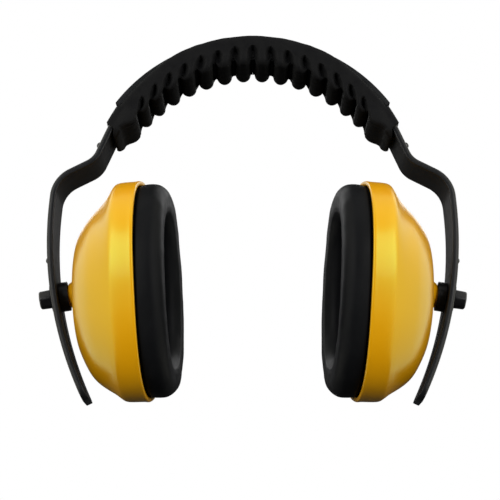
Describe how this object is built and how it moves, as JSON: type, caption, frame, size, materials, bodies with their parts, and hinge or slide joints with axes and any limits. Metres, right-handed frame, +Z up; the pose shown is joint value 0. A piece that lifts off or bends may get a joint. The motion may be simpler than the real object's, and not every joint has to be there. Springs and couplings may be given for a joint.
{
  "type": "hearing protection earmuffs",
  "caption": "Earmuffs with a sprung slotted headband, a corrugated crown pad and two hard ear cups on clamped sliding ball pins with soft sealing cushions.",
  "frame": {"origin": "middle of the crown pad's underside, where the headband rests on the head", "axes": "+X to the wearer's right, +Y to the back, +Z up; the headband leans back 12.5 degrees from the cups"},
  "size_m": [0.2048, 0.0858, 0.1783],
  "materials": {
    "band_plastic": "black moulded nylon, satin, with a soft grey sheen at the edges",
    "pad_foam": "black soft corrugated foam rubber, matte",
    "fitting_plastic": "black moulded plastic, satin",
    "pin_plastic": "black glass-filled nylon",
    "seat_plastic": "black acetal",
    "cup_plastic": "bright yellow ABS, glossy",
    "liner_foam": "dark open-cell foam",
    "cushion_skin": "smooth black vinyl skin, soft sheen",
    "cushion_foam": "soft foam under the skin"
  },
  "bodies": {
    "crown": {"headband_crown": "band_plastic", "crown_pad": "pad_foam"},
    "right_band_arm": {"right_arm": "band_plastic", "right_strap_stud_upper": "fitting_plastic", "right_strap_stud_lower": "fitting_plastic"},
    "right_slider": {"right_spacer_bush": "fitting_plastic", "right_slide_washer": "fitting_plastic"},
    "right_pin": {"right_ball_stud": "pin_plastic"},
    "right_knob": {"right_clamp_knob": "fitting_plastic"},
    "right_seat": {"right_ball_seat_ring": "seat_plastic"},
    "right_cup": {"right_cup_shell": "cup_plastic", "right_foam_liner": "liner_foam", "right_cushion_plate": "fitting_plastic", "right_cushion_skin": "cushion_skin", "right_cushion_foam": "cushion_foam"},
    "left_band_arm": {"left_arm": "band_plastic", "left_strap_stud_upper": "fitting_plastic", "left_strap_stud_lower": "fitting_plastic"},
    "left_slider": {"left_spacer_bush": "fitting_plastic", "left_slide_washer": "fitting_plastic"},
    "left_pin": {"left_ball_stud": "pin_plastic"},
    "left_knob": {"left_clamp_knob": "fitting_plastic"},
    "left_seat": {"left_ball_seat_ring": "seat_plastic"},
    "left_cup": {"left_cup_shell": "cup_plastic", "left_foam_liner": "liner_foam", "left_cushion_plate": "fitting_plastic", "left_cushion_skin": "cushion_skin", "left_cushion_foam": "cushion_foam"}
  },
  "joints": [
    {"name": "right_spread", "type": "hinge", "parent": "crown", "child": "right_band_arm", "pos_m": [0.035, 0.00045, 0.00205], "axis": [0, -0.9763, 0.2164], "range_deg": [0, 22], "stiffness_Nm_per_rad": 3.5, "deforming": ["crown_pad"]},
    {"name": "right_height", "type": "hinge", "parent": "right_band_arm", "child": "right_slider", "pos_m": [-0.0829, -0.01805, -0.08142], "axis": [0, 0.9763, -0.2164], "range_deg": [0, 11.55]},
    {"name": "right_pin_spin", "type": "hinge", "parent": "right_slider", "child": "right_pin", "pos_m": [0.0824, -0.02398, -0.10817], "axis": [0.9865, -0.0354, -0.1597], "range_deg": [-90, 90]},
    {"name": "right_knob_turn", "type": "hinge", "parent": "right_pin", "child": "right_knob", "pos_m": [0.09888, -0.02457, -0.11084], "axis": [0.9865, -0.0354, -0.1597], "continuous": true},
    {"name": "right_cup_tilt", "type": "hinge", "parent": "right_pin", "child": "right_seat", "pos_m": [0.0824, -0.02398, -0.10817], "axis": [-0.0829, 0.9966, 0], "range_deg": [-1, 14]},
    {"name": "right_cup_yaw", "type": "hinge", "parent": "right_seat", "child": "right_cup", "pos_m": [0.0824, -0.02398, -0.10817], "axis": [0.0494, 0.0041, 0.9988], "range_deg": [-8, 7]},
    {"name": "left_spread", "type": "hinge", "parent": "crown", "child": "left_band_arm", "pos_m": [-0.035, 0.00045, 0.00205], "axis": [0, 0.9763, -0.2164], "range_deg": [0, 22], "stiffness_Nm_per_rad": 3.5, "deforming": ["crown_pad"]},
    {"name": "left_height", "type": "hinge", "parent": "left_band_arm", "child": "left_slider", "pos_m": [0.0829, -0.01805, -0.08142], "axis": [0, -0.9763, 0.2164], "range_deg": [0, 11.55]},
    {"name": "left_pin_spin", "type": "hinge", "parent": "left_slider", "child": "left_pin", "pos_m": [-0.0824, -0.02398, -0.10817], "axis": [0.9865, 0.0354, 0.1597], "range_deg": [-90, 90]},
    {"name": "left_knob_turn", "type": "hinge", "parent": "left_pin", "child": "left_knob", "pos_m": [-0.09888, -0.02457, -0.11084], "axis": [0.9865, 0.0354, 0.1597], "continuous": true},
    {"name": "left_cup_tilt", "type": "hinge", "parent": "left_pin", "child": "left_seat", "pos_m": [-0.0824, -0.02398, -0.10817], "axis": [-0.0829, -0.9966, 0], "range_deg": [-1, 14]},
    {"name": "left_cup_yaw", "type": "hinge", "parent": "left_seat", "child": "left_cup", "pos_m": [-0.0824, -0.02398, -0.10817], "axis": [0.0494, -0.0041, -0.9988], "range_deg": [-8, 7]}
  ]
}
